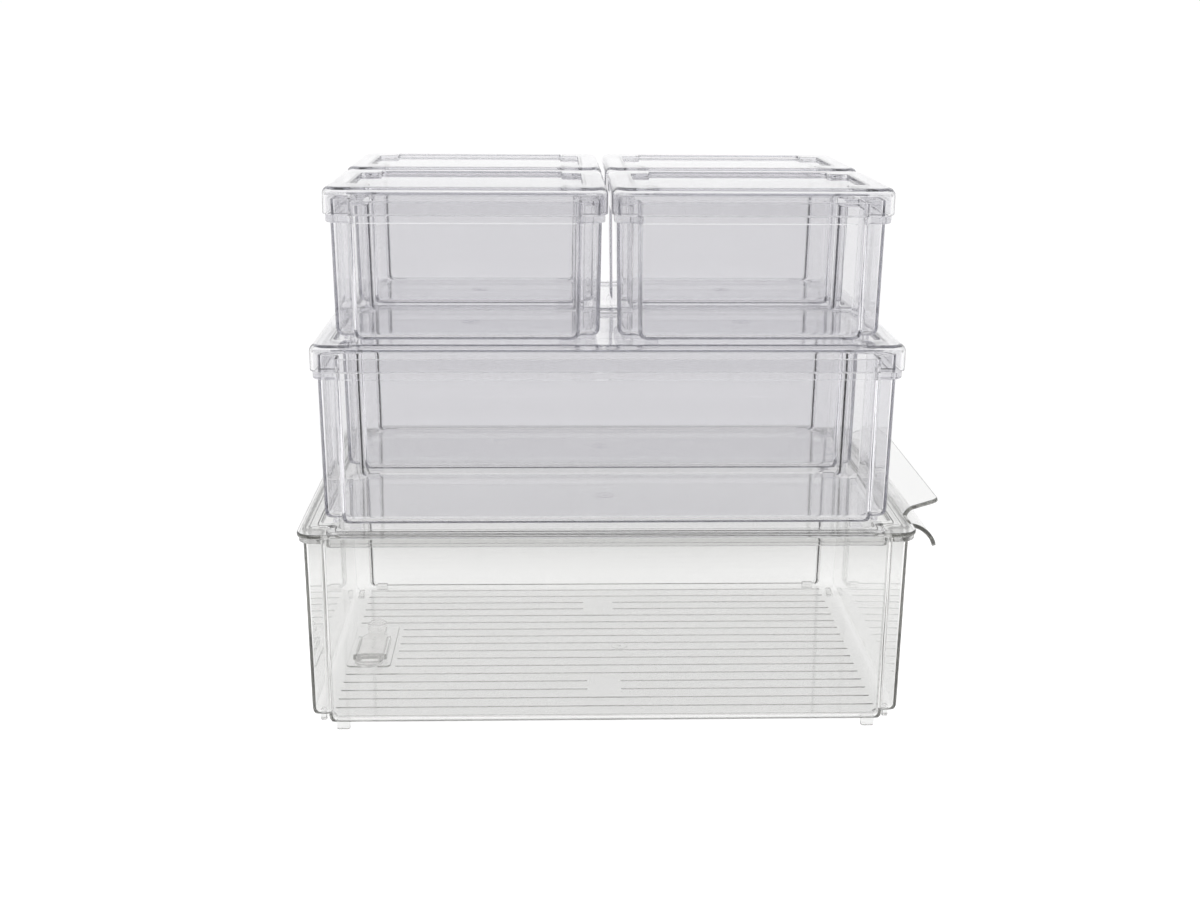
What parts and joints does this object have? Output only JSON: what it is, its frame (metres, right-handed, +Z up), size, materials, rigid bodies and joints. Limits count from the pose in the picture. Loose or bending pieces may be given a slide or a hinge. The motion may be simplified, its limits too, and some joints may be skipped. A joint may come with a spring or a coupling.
{
  "type": "fridge bin",
  "caption": "Stacking set of clear lidded fridge bins in three sizes, with lift-off recessed lids and a floor drain with a slide in the largest bin.",
  "frame": {"origin": "middle of the whole set's footprint, on the surface that it stands on", "axes": "+X along the bins' length towards the end with the handle and the lift tab, +Y from the front row to the back row, +Z up"},
  "size_m": [0.3624, 0.235, 0.3058],
  "materials": {
    "clear_cool": "clear, glossy, faint cool grey",
    "clear_warm": "clear, glossy, faint warm grey",
    "milky": "milky, satin",
    "seal": "white silicone, matt"
  },
  "bodies": {
    "large_bin": {"large_bin": "clear_warm", "drain_seal": "seal"},
    "drain_slide": {"drain_slide": "milky"},
    "large_lid": {"large_lid": "clear_warm"},
    "medium_bin_front": {"medium_bin_front": "clear_cool"},
    "medium_lid_front": {"medium_lid_front": "clear_cool"},
    "medium_bin_back": {"medium_bin_back": "clear_cool"},
    "medium_lid_back": {"medium_lid_back": "clear_cool"},
    "small_bin_front_left": {"small_bin_front_left": "clear_cool"},
    "small_lid_front_left": {"small_lid_front_left": "clear_cool"},
    "small_bin_front_right": {"small_bin_front_right": "clear_cool"},
    "small_lid_front_right": {"small_lid_front_right": "clear_cool"},
    "small_bin_back_left": {"small_bin_back_left": "clear_cool"},
    "small_lid_back_left": {"small_lid_back_left": "clear_cool"},
    "small_bin_back_right": {"small_bin_back_right": "clear_cool"},
    "small_lid_back_right": {"small_lid_back_right": "clear_cool"}
  },
  "joints": [
    {"name": "drain_slide_travel", "type": "slide", "parent": "large_bin", "child": "drain_slide", "axis": [0, 1, 0], "range_m": [0, 0.018]},
    {"name": "large_lid_lift", "type": "slide", "parent": "large_bin", "child": "large_lid", "axis": [0, 0, 1], "range_m": [0, 0.06]},
    {"name": "medium_bin_front_lift", "type": "slide", "parent": "large_lid", "child": "medium_bin_front", "axis": [0, 0, 1], "range_m": [0, 0.06]},
    {"name": "medium_bin_back_lift", "type": "slide", "parent": "large_lid", "child": "medium_bin_back", "axis": [0, 0, 1], "range_m": [0, 0.06]},
    {"name": "medium_lid_front_lift", "type": "slide", "parent": "medium_bin_front", "child": "medium_lid_front", "axis": [0, 0, 1], "range_m": [0, 0.06]},
    {"name": "medium_lid_back_lift", "type": "slide", "parent": "medium_bin_back", "child": "medium_lid_back", "axis": [0, 0, 1], "range_m": [0, 0.06]},
    {"name": "small_bin_front_left_lift", "type": "slide", "parent": "medium_lid_front", "child": "small_bin_front_left", "axis": [0, 0, 1], "range_m": [0, 0.06]},
    {"name": "small_bin_front_right_lift", "type": "slide", "parent": "medium_lid_front", "child": "small_bin_front_right", "axis": [0, 0, 1], "range_m": [0, 0.06]},
    {"name": "small_bin_back_left_lift", "type": "slide", "parent": "medium_lid_back", "child": "small_bin_back_left", "axis": [0, 0, 1], "range_m": [0, 0.06]},
    {"name": "small_bin_back_right_lift", "type": "slide", "parent": "medium_lid_back", "child": "small_bin_back_right", "axis": [0, 0, 1], "range_m": [0, 0.06]},
    {"name": "small_lid_front_left_lift", "type": "slide", "parent": "small_bin_front_left", "child": "small_lid_front_left", "axis": [0, 0, 1], "range_m": [0, 0.06]},
    {"name": "small_lid_front_right_lift", "type": "slide", "parent": "small_bin_front_right", "child": "small_lid_front_right", "axis": [0, 0, 1], "range_m": [0, 0.06]},
    {"name": "small_lid_back_left_lift", "type": "slide", "parent": "small_bin_back_left", "child": "small_lid_back_left", "axis": [0, 0, 1], "range_m": [0, 0.06]},
    {"name": "small_lid_back_right_lift", "type": "slide", "parent": "small_bin_back_right", "child": "small_lid_back_right", "axis": [0, 0, 1], "range_m": [0, 0.06]}
  ]
}
